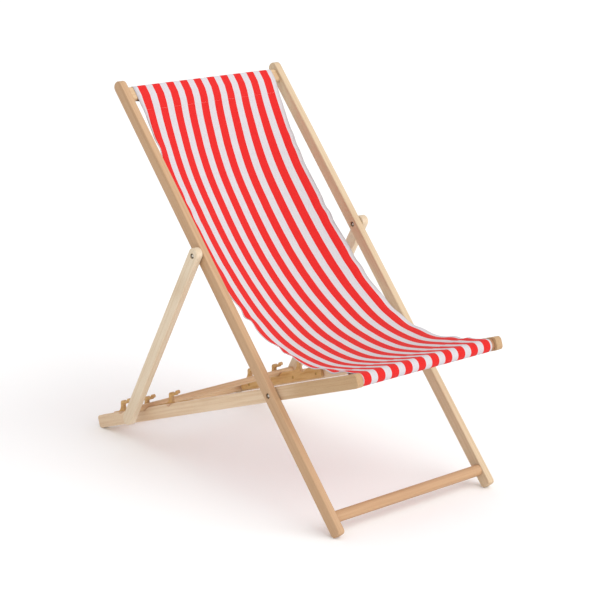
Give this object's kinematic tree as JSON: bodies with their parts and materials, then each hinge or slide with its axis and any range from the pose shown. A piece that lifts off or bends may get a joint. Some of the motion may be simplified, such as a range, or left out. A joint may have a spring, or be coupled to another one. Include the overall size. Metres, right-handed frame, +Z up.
{
  "type": "folding deck chair",
  "caption": "Folding wooden deck chair with a striped cloth sling, a hooked rack on the seat frame and a swinging prop that sets how far the back leans.",
  "frame": {"origin": "on the floor under the middle of the chair's outline", "axes": "+Z up, the sitter faces -Y, +X to the sitter's left"},
  "size_m": [0.576, 0.9566, 0.935],
  "materials": {
    "beech": "oiled beech, rounded edges",
    "pale_beech": "paler beech board",
    "plywood": "birch plywood, routed edges",
    "zinc_plated_steel": "zinc plated",
    "brass_plated_steel": "yellow passivated screw",
    "striped_canvas": "plain weave canvas, red and white stripes"
  },
  "bodies": {
    "back_frame": {"back_rail_left": "beech", "back_rail_right": "beech", "top_bar": "beech", "bottom_bar": "beech", "sling": "striped_canvas", "fold_pivot_left_bolt": "zinc_plated_steel", "fold_pivot_left_sleeve": "zinc_plated_steel", "fold_pivot_left_washer": "zinc_plated_steel", "fold_pivot_right_bolt": "zinc_plated_steel", "fold_pivot_right_sleeve": "zinc_plated_steel", "fold_pivot_right_washer": "zinc_plated_steel", "prop_pivot_left_bolt": "zinc_plated_steel", "prop_pivot_left_sleeve": "zinc_plated_steel", "prop_pivot_left_washer": "zinc_plated_steel", "prop_pivot_right_bolt": "zinc_plated_steel", "prop_pivot_right_sleeve": "zinc_plated_steel", "prop_pivot_right_washer": "zinc_plated_steel"},
    "seat_frame": {"seat_rail_left": "beech", "seat_rail_right": "beech", "front_bar": "beech", "rear_bar": "beech", "rack_left": "plywood", "rack_right": "plywood", "rack_screw_left_1": "brass_plated_steel", "rack_screw_left_2": "brass_plated_steel", "rack_screw_left_3": "brass_plated_steel", "rack_screw_left_4": "brass_plated_steel", "rack_screw_right_1": "brass_plated_steel", "rack_screw_right_2": "brass_plated_steel", "rack_screw_right_3": "brass_plated_steel", "rack_screw_right_4": "brass_plated_steel"},
    "prop_frame": {"prop_strut_left": "pale_beech", "prop_strut_right": "pale_beech", "prop_dowel": "beech"}
  },
  "joints": [
    {"name": "frame_fold", "type": "hinge", "parent": "back_frame", "child": "seat_frame", "pos_m": [0, -0.20362, 0.27997], "axis": [1, 0, 0], "range_deg": [0, 69], "deforming": ["sling"]},
    {"name": "prop_swing", "type": "hinge", "parent": "back_frame", "child": "prop_frame", "pos_m": [0, 0.05733, 0.56575], "axis": [1, 0, 0], "range_deg": [0, 110.9]}
  ]
}
